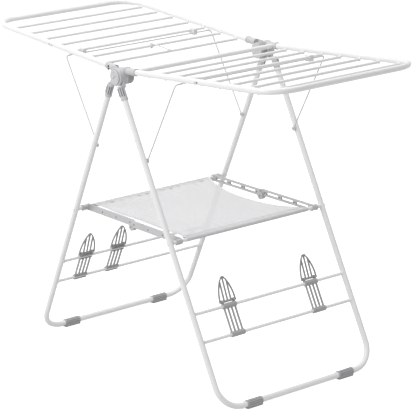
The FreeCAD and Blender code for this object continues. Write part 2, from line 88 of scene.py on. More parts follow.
def seen_directly(tree):
    """1 for a ray from the camera, a glossy surface or a clear one, and 0 for any other."""
    path = tree.nodes.new("ShaderNodeLightPath")
    seen = path.outputs["Is Camera Ray"]
    for kind in ("Is Transmission Ray", "Is Glossy Ray"):
        either = tree.nodes.new("ShaderNodeMath")
        either.operation = "MAXIMUM"
        tree.links.new(seen, either.inputs[0])
        tree.links.new(path.outputs[kind], either.inputs[1])
        seen = either.outputs[0]
    return seen


scene.view_settings.view_transform = "Standard"
world = bpy.data.worlds.new("studio")
scene.world = world
world.use_nodes = True
world_nodes, world_links = world.node_tree.nodes, world.node_tree.links
world_nodes.clear()
world_out = world_nodes.new("ShaderNodeOutputWorld")
dim = world_nodes.new("ShaderNodeBackground")
dim.inputs["Color"].default_value = (1, 1, 1, 1)
dim.inputs["Strength"].default_value = WORLD_STRENGTH
white = world_nodes.new("ShaderNodeBackground")
white.inputs["Strength"].default_value = 1.0
mixed = world_nodes.new("ShaderNodeMixShader")
world_links.new(seen_directly(world.node_tree), mixed.inputs[0])
world_links.new(dim.outputs[0], mixed.inputs[1])
world_links.new(white.outputs[0], mixed.inputs[2])
world_links.new(mixed.outputs[0], world_out.inputs["Surface"])


def lamp(name, place, target, size, power):
    """A square soft lamp that faces a point."""
    data = bpy.data.lights.new(name, "AREA")
    data.size = size
    data.energy = power
    made = bpy.data.objects.new(name, data)
    made.location = place
    made.rotation_euler = (Vector(target) - Vector(place)).to_track_quat("-Z", "Y").to_euler()
    scene.collection.objects.link(made)


for lamp_name, lamp_place, lamp_size, lamp_power in LAMPS:
    lamp(lamp_name, lamp_place, LAMP_TARGET, lamp_size, lamp_power)

bpy.ops.object.select_all(action="DESELECT")
bpy.ops.mesh.primitive_plane_add(size=FLOOR_SIZE, location=(0, 0, 0))
floor = bpy.context.object
floor.name = "floor"
paint = bpy.data.materials.new("floor_paint")
paint.use_nodes = True
floor_nodes, floor_links = paint.node_tree.nodes, paint.node_tree.links
floor_shader = floor_nodes["Principled BSDF"]
floor_shader.inputs["Base Color"].default_value = (FLOOR_SHADE, FLOOR_SHADE, FLOOR_SHADE, 1)
floor_shader.inputs["Roughness"].default_value = FLOOR_ROUGHNESS
lift = floor_nodes.new("ShaderNodeMath")
lift.operation = "MULTIPLY"
lift.inputs[1].default_value = FLOOR_LIFT
floor_links.new(seen_directly(paint.node_tree), lift.inputs[0])
floor_shader.inputs["Emission Color"].default_value = (1, 1, 1, 1)
floor_links.new(lift.outputs[0], floor_shader.inputs["Emission Strength"])
floor.data.materials.append(paint)


# Leg frames: 16 mm steel tube bent to a U, welded up with its bars and shelf rod, and powder
# coated white in one go. The tube ends stand in the hub sockets, and a rivet closes each end of
# the shelf rod outside the leg.
PIN_HEIGHT = 0.822
TUBE_RADIUS = 0.008
LEG_ANGLE, LEG_OFFSET, LEG_HALF_WIDTH = 26.93, 0.009, 0.259
BAR_REACHES, BAR_RADIUS = (0.654, 0.730), 0.0045
ROD_REACH, ROD_RADIUS = 0.460, 0.005
BEAD_WIDTH, BEAD_DEPTH, BEAD_SINK = 0.0016, 0.0030, 0.0008
RIVET_RADIUS, RIVET_DEPTH, RIVET_ROUNDING = 0.0042, 0.0022, 0.0012
SMOOTH_ANGLE = math.radians(40)
REAR, FRONT = -1, 1


def limb(side, angle, offset):
    """The frame of a leg or wing: its own -Z runs down the limb from beside the hub pin."""
    turn = Matrix.Rotation(math.radians(-side * angle), 4, "Y")
    return Matrix.Translation((0, 0, PIN_HEIGHT)) @ turn @ Matrix.Translation((side * offset, 0, 0))


def pick(piece):
    """Selects one piece alone and makes it the active one."""
    bpy.ops.object.select_all(action="DESELECT")
    piece.select_set(True)
    bpy.context.view_layer.objects.active = piece


def settle(piece, place):
    """Puts a piece at its place and leaves that place in its mesh."""
    piece.matrix_world = place
    pick(piece)
    bpy.ops.object.transform_apply(location=True, rotation=True, scale=True)
    return piece


def join(name, pieces):
    """Several pieces of one kind made into one."""
    bpy.ops.object.select_all(action="DESELECT")
    for piece in pieces:
        piece.select_set(True)
    bpy.context.view_layer.objects.active = pieces[0]
    if len(pieces) > 1:
        bpy.ops.object.join()
    pieces[0].name = name
    return pieces[0]


def finish_with(piece, kind, **settings):
    """Adds a modifier to a piece and applies it."""
    modifier = piece.modifiers.new(kind.lower(), kind)
    for setting, value in settings.items():
        setattr(modifier, setting, value)
    pick(piece)
    bpy.ops.object.modifier_apply(modifier=modifier.name)
    return piece


def smooth(piece):
    """Smooth shading that keeps the sharp edges sharp."""
    pick(piece)
    bpy.ops.object.shade_smooth_by_angle(angle=SMOOTH_ANGLE)
    return piece


def fit(piece, material, body):
    """Gives a finished piece its material and the body it moves with."""
    piece.data.materials.clear()
    piece.data.materials.append(material)
    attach(piece, body)
    return piece


def coat(material, *names):
    """Puts a material on CAD nodes."""
    for name in names:
        for material_slot in nodes[name].material_slots:
            material_slot.material = material
        if not nodes[name].material_slots:
            nodes[name].data.materials.append(material)


def drum(radius, depth, sides=32, place=Matrix.Identity(4)):
    """A round blank whose axis is local Z, centred on its place."""
    bpy.ops.object.select_all(action="DESELECT")
    bpy.ops.mesh.primitive_cylinder_add(radius=radius, depth=depth, vertices=sides)
    return settle(bpy.context.object, place)


def cone(low_radius, high_radius, depth, sides=24):
    """A tapered blank whose axis is local Z, with its wide end at the bottom."""
    bpy.ops.object.select_all(action="DESELECT")
    bpy.ops.mesh.primitive_cone_add(
        radius1=low_radius, radius2=high_radius, depth=depth, vertices=sides
    )
    return bpy.context.object


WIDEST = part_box("rear_socket_far")[1].y


def trimmed(piece):
    """Flattens whatever would stand wider than the rack itself."""
    for point in piece.data.vertices:
        point.co.y = max(-WIDEST, min(WIDEST, point.co.y))
    return piece


def facing(x, y, z, end):
    """A place whose own Z points outwards along Y, towards the near end (-1) or the far one."""
    return Matrix.Translation((x, y, z)) @ Matrix.Rotation(math.radians(-90 * end), 4, "X")


def group_of(name, inputs, outputs):
    """A new shader node group with its sockets, ready to be wired."""
    made = bpy.data.node_groups.new(name, "ShaderNodeTree")
    for label, kind, value in inputs:
        made.interface.new_socket(label, in_out="INPUT", socket_type=kind).default_value = value
    for label, kind in outputs:
        made.interface.new_socket(label, in_out="OUTPUT", socket_type=kind)
    entry = made.nodes.new("NodeGroupInput")
    leave = made.nodes.new("NodeGroupOutput")
    return made, entry, leave


# The finish of sprayed or moulded surfaces: faint cloudy change of tone, a fine skin texture,
# and a roughness that wanders a little. Colour, tone and texture size differ by material.
CLOUD_SPAN = (0.35, 0.65)
surface_skin, entry, leave = group_of(
    "surface_skin",
    [("Colour", "NodeSocketColor", (0.8, 0.8, 0.8, 1)),
     ("Cloud colour", "NodeSocketColor", (0.7, 0.7, 0.7, 1)),
     ("Cloud scale", "NodeSocketFloat", 30.0),
     ("Skin scale", "NodeSocketFloat", 900.0),
     ("Roughness low", "NodeSocketFloat", 0.3),
     ("Roughness high", "NodeSocketFloat", 0.4)],
    [("Colour", "NodeSocketColor"), ("Roughness", "NodeSocketFloat"),
     ("Height", "NodeSocketFloat")],
)
skin_nodes, skin_links = surface_skin.nodes, surface_skin.links
skin_place = skin_nodes.new("ShaderNodeTexCoord")
cloud = skin_nodes.new("ShaderNodeTexNoise")
cloud.inputs["Detail"].default_value = 4
skin_links.new(skin_place.outputs["Object"], cloud.inputs["Vector"])
skin_links.new(entry.outputs["Cloud scale"], cloud.inputs["Scale"])
clouded = skin_nodes.new("ShaderNodeMix")
clouded.data_type = "RGBA"
skin_links.new(cloud.outputs["Fac"], clouded.inputs["Factor"])
skin_links.new(entry.outputs["Colour"], clouded.inputs["A"])
skin_links.new(entry.outputs["Cloud colour"], clouded.inputs["B"])
skin_links.new(clouded.outputs["Result"], leave.inputs["Colour"])
ripple = skin_nodes.new("ShaderNodeTexNoise")
ripple.inputs["Detail"].default_value = 2
skin_links.new(skin_place.outputs["Object"], ripple.inputs["Vector"])
skin_links.new(entry.outputs["Skin scale"], ripple.inputs["Scale"])
skin_links.new(ripple.outputs["Fac"], leave.inputs["Height"])
gloss = skin_nodes.new("ShaderNodeMapRange")
skin_links.new(cloud.outputs["Fac"], gloss.inputs["Value"])
gloss.inputs["From Min"].default_value, gloss.inputs["From Max"].default_value = CLOUD_SPAN
skin_links.new(entry.outputs["Roughness low"], gloss.inputs["To Min"])
skin_links.new(entry.outputs["Roughness high"], gloss.inputs["To Max"])
skin_links.new(gloss.outputs["Result"], leave.inputs["Roughness"])


def skinned(name, colour, cloud_colour, scales, roughness, bump, metallic=0.0, coat_weight=0.0):
    """A material with the sprayed or moulded skin. Scales are those of the clouds and the skin."""
    made = bpy.data.materials.new(name)
    made.use_nodes = True
    tree = made.node_tree
    shader = tree.nodes["Principled BSDF"]
    shader.inputs["Metallic"].default_value = metallic
    shader.inputs["Coat Weight"].default_value = coat_weight
    skin = tree.nodes.new("ShaderNodeGroup")
    skin.node_tree = surface_skin
    skin.inputs["Colour"].default_value = (*colour, 1)
    skin.inputs["Cloud colour"].default_value = (*cloud_colour, 1)
    skin.inputs["Cloud scale"].default_value, skin.inputs["Skin scale"].default_value = scales
    skin.inputs["Roughness low"].default_value = roughness[0]
    skin.inputs["Roughness high"].default_value = roughness[1]
    relief = tree.nodes.new("ShaderNodeBump")
    relief.inputs["Strength"].default_value = bump[0]
    relief.inputs["Distance"].default_value = bump[1]
    tree.links.new(skin.outputs["Colour"], shader.inputs["Base Color"])
    tree.links.new(skin.outputs["Roughness"], shader.inputs["Roughness"])
    tree.links.new(skin.outputs["Height"], relief.inputs["Height"])
    tree.links.new(relief.outputs["Normal"], shader.inputs["Normal"])
    return made


white_enamel = skinned(
    "white_enamel", (0.87, 0.87, 0.872), (0.835, 0.835, 0.84), (14, 700), (0.28, 0.38),
    (0.35, 0.0001), coat_weight=0.25,
)
for frame_name, side in (("rear", REAR), ("front", FRONT)):
    coat(white_enamel, *(f"{frame_name}_{part}" for part in
                         ("leg_frame", "upper_bar", "lower_bar", "shelf_rod")))
    beads, rivets = [], []
    leg = limb(side, LEG_ANGLE, LEG_OFFSET)
    for reach, radius in ((BAR_REACHES[0], BAR_RADIUS), (BAR_REACHES[1], BAR_RADIUS),
                          (ROD_REACH, ROD_RADIUS)):
        at = leg @ Vector((0, 0, -reach))
        for end in (-1, 1):
            face = end * (LEG_HALF_WIDTH - TUBE_RADIUS - BEAD_DEPTH / 2 + BEAD_SINK)
            bead = cone(radius + BEAD_WIDTH, radius, BEAD_DEPTH)
            beads.append(settle(bead, facing(at.x, face, at.z, -end)))
            if radius == ROD_RADIUS:
                rivet = drum(RIVET_RADIUS, RIVET_DEPTH)
                finish_with(rivet, "BEVEL", width=RIVET_ROUNDING, segments=3)
                outside = end * (LEG_HALF_WIDTH + TUBE_RADIUS + RIVET_DEPTH / 4)
                rivets.append(settle(rivet, facing(at.x, outside, at.z, end)))
    fit(smooth(join(f"{frame_name}_weld_beads", beads)), white_enamel, f"{frame_name}_frame")
    fit(smooth(trimmed(join(f"{frame_name}_rod_rivets", rivets))), white_enamel,
        f"{frame_name}_frame")


# Foot pads: soft grey plastic sleeves snapped over the bottom tubes, with a raised collar at each
# end, grooves along the body and a flat sole with cross treads that stops it sliding. The grooves
# are thin strips and the treads are painted dark grey: painted shade in the grooves and under the
# pad.
PAD_PLACE, PAD_HALF_LENGTH = 0.157, 0.025
PAD_RADIUS, PAD_HEIGHT = 0.0098, 0.012
COLLAR_PROUD, COLLAR_LENGTH = 0.0006, 0.004
TREAD_COUNT, TREAD_WIDTH, TREAD_LENGTH, TREAD_DEPTH = 8, 0.0146, 0.0030, 0.0024
TREAD_ROUNDING = 0.0005
GROOVE_COUNT, GROOVE_STEP, GROOVE_WIDTH, GROOVE_PROUD = 7, 30, 0.0014, 0.0002
pad_plastic = skinned(
    "pad_plastic", (0.47, 0.47, 0.48), (0.40, 0.40, 0.41), (60, 2600), (0.48, 0.62),
    (0.5, 0.00012),
)
# Dark grey, painted shade: under the pads, in their grooves and between the sleeve ribs.
painted_rib_and_groove_shade = skinned(
    "painted_rib_and_groove_shade", (0.22, 0.22, 0.23), (0.17, 0.17, 0.18), (60, 2600), (0.6, 0.72),
    (0.5, 0.00012),
)
for frame_name, side in (("rear", REAR), ("front", FRONT)):
    coat(pad_plastic, f"{frame_name}_foot_pads")
    pad_low, pad_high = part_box(f"{frame_name}_foot_pads")
    pad_x = (pad_low.x + pad_high.x) / 2
    collars, treads = [], []
    for end in (-1, 1):
        for number in range(GROOVE_COUNT):
            lean = math.radians(GROOVE_STEP * (number - (GROOVE_COUNT - 1) / 2))
            bpy.ops.object.select_all(action="DESELECT")
            bpy.ops.mesh.primitive_cube_add(
                size=1, rotation=(0, lean, 0),
                scale=(GROOVE_WIDTH, 2 * (PAD_HALF_LENGTH - COLLAR_LENGTH), GROOVE_PROUD * 2),
                location=(pad_x + PAD_RADIUS * math.sin(lean), end * PAD_PLACE,
                          PAD_HEIGHT + PAD_RADIUS * math.cos(lean)),
            )
            treads.append(settle(bpy.context.object, bpy.context.object.matrix_world.copy()))
        for tip in (-1, 1):
            y = end * PAD_PLACE + tip * (PAD_HALF_LENGTH - COLLAR_LENGTH / 2)
            collar = drum(PAD_RADIUS + COLLAR_PROUD, COLLAR_LENGTH, sides=40)
            pick(collar)
            bpy.ops.object.mode_set(mode="EDIT")
            bpy.ops.mesh.select_mode(type="FACE")
            bpy.ops.object.mode_set(mode="OBJECT")
            for face in collar.data.polygons:
                face.select = abs(face.normal.z) > 0.9
            bpy.ops.object.mode_set(mode="EDIT")
            bpy.ops.mesh.inset(thickness=COLLAR_PROUD * 2, depth=-COLLAR_PROUD / 2)
            bpy.ops.object.mode_set(mode="OBJECT")
            finish_with(collar, "BEVEL", width=COLLAR_PROUD / 2, segments=2)
            collars.append(settle(collar, facing(pad_x, y, PAD_HEIGHT, end)))
        for number in range(TREAD_COUNT):
            step = (number + 0.5) / TREAD_COUNT * 2 - 1
            bpy.ops.object.select_all(action="DESELECT")
            bpy.ops.mesh.primitive_cube_add(
                size=1, scale=(TREAD_WIDTH, TREAD_LENGTH, TREAD_DEPTH),
                location=(pad_x, end * PAD_PLACE + step * PAD_HALF_LENGTH, TREAD_DEPTH / 2),
            )
            tread = settle(bpy.context.object, bpy.context.object.matrix_world.copy())
            treads.append(finish_with(tread, "BEVEL", width=TREAD_ROUNDING, segments=2))
    fit(smooth(join(f"{frame_name}_pad_collars", collars)), pad_plastic, f"{frame_name}_frame")
    fit(smooth(join(f"{frame_name}_pad_treads_and_groove_shade", treads)), painted_rib_and_groove_shade, f"{frame_name}_frame")


# Wings: the same tube in a lighter U, with seven thin rungs welded across just below its rails.
# The right wing has one more, thicker tube close to the hubs that keeps its rails apart.
WING_ANGLE, WING_OFFSET, WING_HALF_WIDTH = 93.9, 0.015, 0.237
RUNG_COUNT, FIRST_RUNG, RUNG_PITCH = 7, 0.108, 0.075
RUNG_DROP, RUNG_RADIUS = 0.007, 0.004
WELD_WIDTH, WELD_DEPTH = 0.0014, 0.0026
coat(white_enamel, "right_inner_tube")
for wing_name, side in (("left", REAR), ("right", FRONT)):
    coat(white_enamel, f"{wing_name}_wing_frame",
         *(f"{wing_name}_rung_{number + 1}" for number in range(RUNG_COUNT)))
    welds = []
    wing = limb(side, WING_ANGLE, WING_OFFSET - RUNG_DROP)
    flank = math.sqrt(TUBE_RADIUS ** 2 - (RUNG_DROP - RUNG_RADIUS) ** 2)
    for number in range(RUNG_COUNT):
        at = wing @ Vector((0, 0, -(FIRST_RUNG + number * RUNG_PITCH)))
        for end in (-1, 1):
            face = end * (WING_HALF_WIDTH - flank - WELD_DEPTH / 2 + BEAD_SINK / 2)
            weld = cone(RUNG_RADIUS + WELD_WIDTH, RUNG_RADIUS, WELD_DEPTH, sides=20)
            welds.append(settle(weld, facing(at.x, face, at.z, -end)))
    fit(smooth(join(f"{wing_name}_rung_welds", welds)), white_enamel, f"{wing_name}_wing")


# Hub sockets: light grey mouldings, one for each tube end, stacked on one steel pin. The leg
# sleeves have long ribs painted dark grey, painted shade between them; each sleeve ends in a plain
# collar, and screws hold the sockets, their heads painted near black as painted shade of their
# holes.
SLEEVE_START, SLEEVE_LENGTH, SLEEVE_WALL = 0.028, 0.038, 0.0014
DISC_RADIUS, DISC_DEPTH, LAYER_GAP, OUTER_FACE = 0.024, 0.006, 0.0003, 0.2596
SLEEVE_RADIUS = TUBE_RADIUS + SLEEVE_WALL
END_COLLAR_LENGTH, END_COLLAR_PROUD = 0.006, 0.0007
RIB_PROUD, RIB_WIDTH, RIB_LENGTH, RIB_COUNT = 0.0014, 0.0022, 0.024, 5
RIB_STEP, RIB_START, RIB_ROUNDING = 36, 0.004, RIB_PROUD * 0.4
SCREW_RADIUS, SCREW_DEPTH = 0.0030, 0.0012
SCREW_SPOTS = {
    "front_socket": ((0.5, -16.5), (-2.5, -21.0)),
    "left_socket": ((-50, 20), (-50, 13)),
    "right_socket": ((3, 14), (8, 6)),
}
socket_plastic = skinned(
    "socket_plastic", (0.62, 0.62, 0.63), (0.55, 0.55, 0.56), (45, 2200), (0.36, 0.50),
    (0.4, 0.0001),
)
# Near black, painted shade: it stands for the shade inside holes, slots and gaps, and colours the
# screw heads, the hole marks and the barrel core.
painted_recess_shade = skinned(
    "painted_recess_shade", (0.055, 0.055, 0.06), (0.03, 0.03, 0.035), (90, 2200), (0.5, 0.7),
    (0.4, 0.0001),
)
SOCKETS = (("rear_socket", REAR, LEG_ANGLE, LEG_OFFSET, LEG_HALF_WIDTH, 0, "rear_frame"),
           ("front_socket", FRONT, LEG_ANGLE, LEG_OFFSET, LEG_HALF_WIDTH, 1, "front_frame"),
           ("left_socket", REAR, WING_ANGLE, WING_OFFSET, WING_HALF_WIDTH, 2, "left_wing"),
           ("right_socket", FRONT, WING_ANGLE, WING_OFFSET, WING_HALF_WIDTH, 3, "right_wing"))
for label, side, angle, offset, half_width, layer, body in SOCKETS:
    on_leg = angle == LEG_ANGLE
    place = limb(side, angle, offset)
    collars, ribs, screws = [], [], []
    for end, end_name in ((-1, "near"), (1, "far")):
        coat(socket_plastic, f"{label}_{end_name}")
        reach = SLEEVE_START + SLEEVE_LENGTH - END_COLLAR_LENGTH / 2
        collar = drum(SLEEVE_RADIUS + END_COLLAR_PROUD, END_COLLAR_LENGTH, sides=40)
        finish_with(collar, "BEVEL", width=END_COLLAR_PROUD * 0.8, segments=3)
        collars.append(settle(collar, place @ Matrix.Translation((0, end * half_width, -reach))))
        for number in range(RIB_COUNT if on_leg else 0):
            bpy.ops.object.select_all(action="DESELECT")
            bpy.ops.mesh.primitive_cube_add(
                size=1, scale=(RIB_WIDTH, RIB_PROUD * 2, RIB_LENGTH),
                location=(0, end * SLEEVE_RADIUS, 0),
            )
            rib = settle(bpy.context.object, bpy.context.object.matrix_world.copy())
            finish_with(rib, "BEVEL", width=RIB_ROUNDING, segments=2)
            turn = math.radians(RIB_STEP * (number - (RIB_COUNT - 1) / 2))
            spread = Matrix.Rotation(turn, 4, "Z")
            middle = -(SLEEVE_START + RIB_START + RIB_LENGTH / 2)
            ribs.append(settle(
                rib, place @ Matrix.Translation((0, end * half_width, middle)) @ spread))
        face = end * (OUTER_FACE - layer * (DISC_DEPTH + LAYER_GAP))
        for x, z in SCREW_SPOTS.get(label, ()):
            depth = face if abs(x) < DISC_RADIUS / MM else end * (half_width + SLEEVE_RADIUS)
            screw = drum(SCREW_RADIUS, SCREW_DEPTH, sides=24)
            finish_with(screw, "BEVEL", width=SCREW_DEPTH * 0.3, segments=2)
            screws.append(settle(
                screw, facing(x * MM, depth, PIN_HEIGHT + z * MM, end)))
    rows = [("collars", collars, socket_plastic), ("ribs", ribs, painted_rib_and_groove_shade),
            ("screws", screws, painted_recess_shade)]
    for part, made, material in rows:
        if made:
            fit(smooth(trimmed(join(f"{label}_{part}", made))), material, body)


# Hub pins: a steel pin runs through all four sockets of each hub. Outside it ends in a wide
# moulded cap with a ring and a slot, made by insets and a cut; inside, in a plain washer.
PIN_RADIUS, WASHER_RADIUS, WASHER_DEPTH = 0.004, 0.009, 0.004
CAP_RADIUS, CAP_DEPTH, CAP_ROUNDING = 0.0185, 0.0036, 0.0014
RING_RADIUS, RING_WIDTH, RING_DEPTH = 0.0150, 0.0012, 0.0009
SLOT_LENGTH, SLOT_WIDTH, SLOT_DEPTH, SLOT_TURN = 0.0150, 0.0034, 0.0020, 38
CUT_ROUNDING, STRAIGHT_UP = 0.0003, 0.999
pin_steel = skinned(
    "pin_steel", (0.56, 0.56, 0.57), (0.48, 0.48, 0.50), (120, 1500), (0.28, 0.42),
    (0.2, 0.00005), metallic=1.0,
)


def faces_at(piece, wanted):
    """Opens a piece in edit mode with the faces that pass a test selected."""
    pick(piece)
    bpy.ops.object.mode_set(mode="EDIT")
    bpy.ops.mesh.select_mode(type="FACE")
    bpy.ops.mesh.select_all(action="DESELECT")
    bpy.ops.object.mode_set(mode="OBJECT")
    for face in piece.data.polygons:
        face.select = wanted(face)
    bpy.ops.object.mode_set(mode="EDIT")


for end, end_name in ((-1, "near"), (1, "far")):
    cap = drum(CAP_RADIUS, CAP_DEPTH, sides=64)
    finish_with(cap, "BEVEL", width=CAP_ROUNDING, segments=4)
    faces_at(cap, lambda face: face.normal.z > STRAIGHT_UP)
    bpy.ops.mesh.inset(thickness=CAP_RADIUS - CAP_ROUNDING - RING_RADIUS)
    bpy.ops.mesh.inset(thickness=RING_WIDTH, depth=-RING_DEPTH)
    bpy.ops.mesh.inset(thickness=RING_WIDTH, depth=RING_DEPTH)
    bpy.ops.object.mode_set(mode="OBJECT")
    bpy.ops.object.select_all(action="DESELECT")
    bpy.ops.mesh.primitive_cube_add(
        size=1, scale=(SLOT_LENGTH, SLOT_WIDTH, SLOT_DEPTH * 2), location=(0, 0, CAP_DEPTH / 2),
        rotation=(0, 0, math.radians(SLOT_TURN)),
    )
    cutter = bpy.context.object
    finish_with(cap, "BOOLEAN", operation="DIFFERENCE", object=cutter, solver="EXACT")
    bpy.data.objects.remove(cutter)
    finish_with(cap, "BEVEL", width=CUT_ROUNDING, segments=2, limit_method="ANGLE")
    settle(cap, facing(0, end * (OUTER_FACE + CAP_DEPTH / 2), PIN_HEIGHT, end))
    fit(smooth(cap), socket_plastic, "rear_frame")
    cap.name = f"hub_cap_{end_name}"
    inner_face = OUTER_FACE - 4 * (DISC_DEPTH + LAYER_GAP)
    shank_length = OUTER_FACE - inner_face
    shank = drum(PIN_RADIUS, shank_length, sides=32)
    settle(shank, facing(0, end * (inner_face + OUTER_FACE) / 2, PIN_HEIGHT, end))
    washer = drum(WASHER_RADIUS, WASHER_DEPTH, sides=40)
    finish_with(washer, "BEVEL", width=WASHER_DEPTH * 0.2, segments=3)
    settle(washer, facing(0, end * (inner_face - WASHER_DEPTH / 2), PIN_HEIGHT, end))
    pin = fit(smooth(join(f"hub_pin_body_{end_name}", [shank, washer])), pin_steel, "rear_frame")
    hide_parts(f"hub_pin_{end_name}")


# Hub barrels: the right wing's socket carries a drum of close ring ribs round the pin, which
# stiffens it where the wing pulls on the hub. Each is a core painted near black, painted shade
# between the rings, with pale rings over it.
BARREL_RIBS, BARREL_RADIUS, BARREL_RIB_DEPTH, BARREL_PITCH = 5, 0.0222, 0.0016, 0.0040
CORE_SHARE, FIRST_RING = 0.78, 0.75
for end, end_name in ((-1, "near"), (1, "far")):
    inner_face = OUTER_FACE - 4 * DISC_DEPTH - 3 * LAYER_GAP
    core_length = BARREL_PITCH * BARREL_RIBS - BARREL_RIB_DEPTH
    core = drum(BARREL_RADIUS * CORE_SHARE, core_length, sides=48)
    settle(core, facing(0, end * (inner_face - core_length / 2), PIN_HEIGHT, end))
    fit(smooth(core), painted_recess_shade, "right_wing")
    core.name = f"hub_barrel_core_{end_name}"
    rings = []
    for number in range(BARREL_RIBS):
        ring = drum(BARREL_RADIUS, BARREL_RIB_DEPTH, sides=56)
        finish_with(ring, "BEVEL", width=BARREL_RIB_DEPTH * 0.3, segments=2)
        depth = inner_face - BARREL_PITCH * (number + FIRST_RING)
        rings.append(settle(ring, facing(0, end * depth, PIN_HEIGHT, end)))
    fit(smooth(join(f"hub_barrel_ribs_{end_name}", rings)), socket_plastic, "right_wing")


# Stays: one white-dipped wire each, clipped to the third rung and hooked on the legs, with a
# small bolt head that each hook catches on. Outside each rail a stud holds a folded stay.
STUD_REACH, STUD_RADIUS, STUD_DEPTH = 0.326, 0.004, 0.0025
STUD_HOLE, STUD_HOLE_BEFORE = 0.0021, 0.0085
DOME_RADIUS, DOME_DEPTH, DOME_ROUNDING = STUD_RADIUS * 0.9, STUD_DEPTH * 0.6, STUD_DEPTH * 0.28
STUD_HOLE_DEPTH = STUD_DEPTH * 0.4
white_wire = skinned(
    "white_wire", (0.72, 0.72, 0.725), (0.65, 0.65, 0.66), (30, 1200), (0.32, 0.44),
    (0.25, 0.00006), coat_weight=0.15,
)
white_plastic = skinned(
    "white_plastic", (0.80, 0.80, 0.80), (0.74, 0.74, 0.74), (50, 2200), (0.38, 0.5),
    (0.4, 0.0001),
)
for wing_name, frame_name, side in (("left", "rear", REAR), ("right", "front", FRONT)):
    coat(white_wire, f"{wing_name}_stay")
    coat(white_plastic, f"{wing_name}_stay_clips", f"{wing_name}_stow_studs")
    coat(pin_steel, f"{frame_name}_stay_catches")
    rail = limb(side, WING_ANGLE, WING_OFFSET)
    domes, holes = [], []
    for end in (-1, 1):
        face = end * (WING_HALF_WIDTH + TUBE_RADIUS + STUD_DEPTH)
        at = rail @ Vector((0, 0, -STUD_REACH))
        dome = drum(DOME_RADIUS, DOME_DEPTH)
        finish_with(dome, "BEVEL", width=DOME_ROUNDING, segments=4)
        domes.append(settle(dome, facing(at.x, face, at.z, end)))
        # The hole in each stud is a thin near-black disc: painted shade inside the hole.
        at = rail @ Vector((0, 0, -STUD_REACH - STUD_HOLE_BEFORE))
        hole = drum(STUD_HOLE, STUD_HOLE_DEPTH, sides=20)
        face = end * (WING_HALF_WIDTH + TUBE_RADIUS)
        holes.append(settle(hole, facing(at.x, face, at.z, end)))
    fit(smooth(join(f"{wing_name}_stud_domes", domes)), white_plastic, f"{wing_name}_wing")
    fit(smooth(join(f"{wing_name}_stud_holes", holes)), painted_recess_shade, f"{wing_name}_wing")


# Shelf cloth: an open-weave white polyester cut with a hollow far side, hemmed round both rods
# and drawn tight between them, so that it puckers a little at the hems and at its corners.
CLOTH_CORNER, NEAR_WAIST, FAR_WAIST = 0.206, 0.199, 0.150
PLAIN_CURVE, LATE_CURVE = 2.0, 3.5
CLOTH_RADIUS = ROD_RADIUS + 0.0006
CLOTH_WRAP_TURN, CLOTH_FLAP = 235, 0.016
CLOTH_FLAP_GAP = 0.0010
CLOTH_SAG = 0.005
CLOTH_COLUMNS, CLOTH_WRAP_STEPS, CLOTH_FLAP_STEPS, CLOTH_ROWS = 96, 14, 5, 120
PUCKER_HEIGHT, PUCKER_PITCH, PUCKER_REACH = 0.0011, 0.031, 0.034
PUCKER_START, PUCKER_GAIN, PUCKER_WAVER, WAVER_Y, WAVER_X = 0.006, 1.6, 3.1, 9, 2
FOLD_HEIGHT, FOLD_WIDTH, FOLD_REACH = 0.0022, 0.024, 0.150
FOLD_START, FOLD_RATE, FOLD_SPREAD, FOLD_HEM = 0.02, 0.8, 8, 0.012
SAG_EASE, FLAT_HEM, ON_TOP = 0.35, 0.004, 0.999
YARN_PITCH = 0.0016
rod_low, rod_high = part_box("front_shelf_rod")
ROD_X, ROD_Z = (rod_low.x + rod_high.x) / 2, (rod_low.z + rod_high.z) / 2


def cloth_edge(x, end):
    """Where one side of the cloth runs. The near side is almost straight; the far side is
    hollow, and turns out to its front corner late."""
    waist = NEAR_WAIST if end < 0 else FAR_WAIST
    curve = LATE_CURVE if end > 0 and x > 0 else PLAIN_CURVE
    return end * (waist + (CLOTH_CORNER - waist) * min(1.0, abs(x) / ROD_X) ** curve)


def cloth_relief(x, y):
    """How far the stretched cloth stands above or below its plane."""
    edge = ROD_X - abs(x)
    pucker = PUCKER_HEIGHT * math.exp(-edge / PUCKER_REACH) * (1 - math.exp(-edge / PUCKER_START))
    waver = PUCKER_WAVER * math.sin(WAVER_Y * y + WAVER_X * x)
    pucker *= math.sin(math.tau * y / PUCKER_PITCH + waver)
    sag = -CLOTH_SAG * (1 - (x / ROD_X) ** 2) * (1 - SAG_EASE * (y / CLOTH_CORNER) ** 2)
    corner = Vector((edge, CLOTH_CORNER - abs(y)))
    bearing = math.atan2(corner.y, corner.x)
    fade = math.exp(-corner.length / FOLD_REACH) * (1 - math.exp(-corner.length / FOLD_START))
    wave = math.sin(corner.length / FOLD_WIDTH * FOLD_RATE + bearing * FOLD_SPREAD)
    fold = FOLD_HEIGHT * fade * wave * (1 - math.exp(-edge / FOLD_HEM))
    return (pucker * PUCKER_GAIN + sag + fold) * min(1, edge / FLAT_HEM)


def cloth_section():
    """The cloth's line across both rods: rear flap, rear wrap, span, front wrap, front flap.
    Each step is (x, height above the rods, distance along the cloth)."""
    line = []
    turn = math.radians(CLOTH_WRAP_TURN)
    tail_x = ROD_X + CLOTH_RADIUS * math.sin(turn)
    for step in range(CLOTH_FLAP_STEPS):
        along = 1 - step / CLOTH_FLAP_STEPS
        low = CLOTH_RADIUS * math.cos(turn)
        rise = (CLOTH_RADIUS - CLOTH_FLAP_GAP - low) * along
        line.append((tail_x - CLOTH_FLAP * along, low + rise))
    for step in range(CLOTH_WRAP_STEPS):
        here = turn * (1 - step / CLOTH_WRAP_STEPS)
        line.append((ROD_X + CLOTH_RADIUS * math.sin(here), CLOTH_RADIUS * math.cos(here)))
    rear = [(-x, z) for x, z in line]
    span = [(ROD_X * (2 * step / CLOTH_COLUMNS - 1), CLOTH_RADIUS)
            for step in range(CLOTH_COLUMNS + 1)]
    whole = rear + span + line[::-1]
    travelled, steps = 0.0, []
    for number, (x, z) in enumerate(whole):
        if number:
            travelled += math.dist((x, z), whole[number - 1])
        steps.append((x, z, travelled))
    return steps


